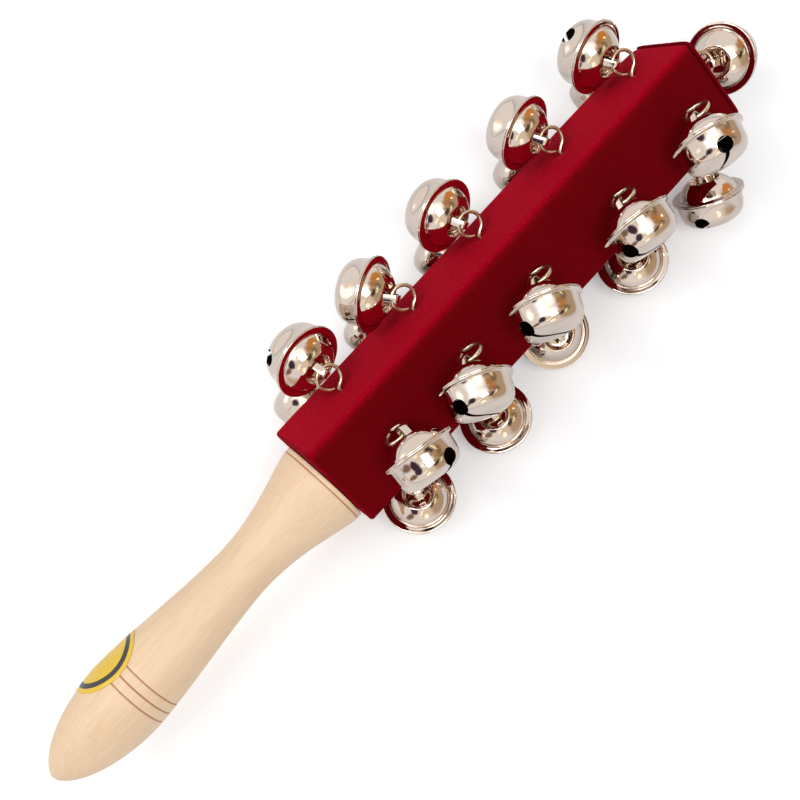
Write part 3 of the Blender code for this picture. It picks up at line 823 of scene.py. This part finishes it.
def painted_sheen_at(point):
    """Painted sheen at a place on the wrap, 0 to 1: how much lighter the pile is painted where light falls on it,
    most on the left face.
    """
    y, z = point.y, point.z
    # each face gets its own level of painted sheen: strongest on the left face, weakest on the bottom, and on the
    # top face rising towards its left edge
    if point.x < 0.8 * VELVET_ROUND:
        return 0.35
    if z > abs(y):
        return 0.85 * fade(VELVET_HALF - y, 2.6 * MM)
    if y > abs(z):
        return 1.0 - 0.15 * fade(VELVET_HALF - z, 1.2 * MM)
    if -y > abs(z):
        return 0.25
    return 0.5


def store_painted_sheen(mesh, painted_sheen):
    """Store each vertex's painted sheen, before the mesh is moved to its place."""
    attribute = mesh.attributes.new("painted_sheen", "FLOAT", "POINT")
    attribute.data.foreach_set("value", [painted_sheen(vert.co) for vert in mesh.vertices])


def make_velvet(velvet, feet):
    """The wrap, a stretched sheet glued round the block and over its near end, and the square far end piece."""
    shape = bmesh.new()
    rows = [[shape.verts.new(place) for place in row] for row in wrap_rows(feet)]
    bridge(shape, rows + rows[:1])
    mesh = mesh_of("velvet_sheet", shape, 60)
    store_painted_sheen(mesh, painted_sheen_at)
    mesh.transform(STICK)
    wrap = new_piece("velvet_sheet", mesh, velvet, "stick")
    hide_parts("velvet_wrap")

    shape = bmesh.new()
    rings = []
    for share, lift in ((0.05, 0.0), (0.4, 0.0), (0.8, 0.0), (0.93, 0.0), (0.97, -0.1), (0.99, -0.3), (1.0, -0.6)):
        ring = []
        for point, direction in square_ring(VELVET_HALF - SWELL, 1.6 * MM, 176):
            fringe = noise.noise(point * 700) * 0.12 * MM * share ** 8
            place = point * share + direction * fringe
            corner = abs(point.y * point.z / VELVET_HALF ** 2) ** 8
            place -= point.normalized() * CORNER_DROOP * corner * share
            ring.append(shape.verts.new(place + ALONG * (END_FACE + lift * MM)))
        rings.append(ring)
    back = [shape.verts.new(Vector((END_FACE - VELVET_THICKNESS, vert.co.y, vert.co.z))) for vert in rings[-1]]
    rings.append(back)
    bridge(shape, rings)
    shape.faces.new(rings[0])
    shape.faces.new(back)
    mesh = mesh_of("velvet_end", shape, 60)
    # the end piece gets one even level of painted sheen
    store_painted_sheen(mesh, lambda place: 0.45)
    mesh.transform(STICK)
    end = new_piece("velvet_end", mesh, velvet, "stick")
    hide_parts("velvet_end_piece")


def finish_core():
    core = frame["nodes"]["core_block"]
    wood = wood_material("planed_softwood", (0.78, 0.58, 0.36), (0.62, 0.42, 0.24))
    core.data.materials.clear()
    core.data.materials.append(wood)


def make_floor():
    """A plain white floor that keeps the object's shadow and shows white to the camera and in the metal."""
    shape = bmesh.new()
    bmesh.ops.create_grid(shape, x_segments=1, y_segments=1, size=4)
    mesh = mesh_of("floor", shape)
    made = new_material("floor_white")
    made.set(Roughness=0.9, Specular_IOR_Level=0.0, Base_Color=(0.9, 0.9, 0.9, 1), Emission_Color=(1, 1, 1, 1))
    path = made.add("ShaderNodeLightPath")
    seen = made.math("MULTIPLY", path.outputs["Is Camera Ray"], 0.25)
    mirrored = made.math("MULTIPLY", path.outputs["Is Glossy Ray"], 0.03)
    made.feed(made.math("ADD", seen, mirrored), "Emission Strength")
    mesh.materials.append(made.owner)
    link(bpy.data.objects.new("floor", mesh))


def room_direction(right, away):
    """The world direction of a place in the room, given in degrees from straight up."""
    tilt = math.radians(math.hypot(right, away))
    return Vector((0, 0, math.cos(tilt))) + (ROOM_RIGHT * right + ROOM_AWAY * away).normalized() * math.sin(tilt)


def room_spot(made):
    """The place in the room that a ray meets, as a vector in degrees, with a little unevenness."""
    ray = made.add("ShaderNodeTexCoord").outputs["Generated"]
    height = made.vector("DOT_PRODUCT", ray, (0, 0, 1))
    flat = made.math("SQRT", made.math("SUBTRACT", 1.0001, made.math("MULTIPLY", height, height)), 0)
    tilt = made.math("MULTIPLY", made.math("ARCCOSINE", height, 0), math.degrees(1))
    reach = made.math("DIVIDE", tilt, flat)
    joined = made.add("ShaderNodeCombineXYZ")
    for side, name in ((ROOM_RIGHT, "X"), (ROOM_AWAY, "Y")):
        made.join(made.math("MULTIPLY", made.vector("DOT_PRODUCT", ray, side), reach), joined.inputs[name])
    uneven = made.add("ShaderNodeTexNoise")
    made.join(joined.outputs["Vector"], uneven.inputs["Vector"])
    uneven.inputs["Scale"].default_value = 0.09
    uneven.inputs["Detail"].default_value = 3.0
    shift = made.vector("SUBTRACT", uneven.outputs["Color"], (0.5, 0.5, 0.5))
    shift = made.vector("MULTIPLY", shift, (14, 14, 0))
    return made.vector("ADD", joined.outputs["Vector"], shift)


def make_room():
    """The room round the object: plain light for the object, and what its metal reflects."""
    world = bpy.data.worlds.new("studio")
    bpy.context.scene.world = world
    made = Nodes(world, "Background")
    spot = room_spot(made)
    room = (1.1, 1.07, 1.04)
    for right, away, half_width, half_height, turn, softness, color in ROOM_PATCHES.values():
        patch = made.add("ShaderNodeMapping", vector_type="TEXTURE")
        made.join(spot, patch.inputs["Vector"])
        patch.inputs["Location"].default_value = (right, away, 0)
        patch.inputs["Rotation"].default_value = (0, 0, math.radians(turn))
        patch.inputs["Scale"].default_value = (half_width, half_height, 1)
        reach = made.vector("LENGTH", patch.outputs["Vector"], (0, 0, 0))
        room = made.mix(made.remap(reach, 1 - softness, 1 + softness, 1, 0), room, color)
    path = made.add("ShaderNodeLightPath")
    color = made.mix(path.outputs["Is Glossy Ray"], (0.55, 0.55, 0.56), room)
    made.feed(made.mix(path.outputs["Is Camera Ray"], color, grey(1.0)), "Color")


def make_lights():
    middle = STICK @ Vector((60 * MM, 0, 0))
    for name, (right, away, width, power) in LAMPS.items():
        lamp = bpy.data.lights.new(name, "AREA")
        lamp.size = width
        lamp.energy = power
        thing = link(bpy.data.objects.new(name, lamp))
        direction = room_direction(right, away)
        thing.location = middle + direction * LAMP_DISTANCE
        thing.rotation_euler = direction.to_track_quat("Z", "Y").to_euler()


def make_camera():
    camera = bpy.data.cameras.new("camera")
    camera.lens = CAMERA_LENS
    camera.sensor_width = 36
    camera.clip_start = 0.01
    thing = link(bpy.data.objects.new("camera", camera))
    ahead = CAMERA_AHEAD.normalized()
    right = (CAMERA_RIGHT - ahead * CAMERA_RIGHT.dot(ahead)).normalized()
    up = right.cross(ahead)
    turn = Matrix((right, up, -ahead)).transposed().to_4x4()
    thing.matrix_world = STICK @ Matrix.Translation(CAMERA_PLACE) @ turn
    bpy.context.scene.camera = thing


def main():
    bpy.context.scene.view_settings.view_transform = "Standard"
    make_camera()
    make_handle()
    make_disc()
    finish_core()
    feet = make_bells(nickel_material(), shaded_inside_material(), wire_material(), pellet_material())
    make_velvet(velvet_material(), feet)
    make_floor()
    make_room()
    make_lights()


main()
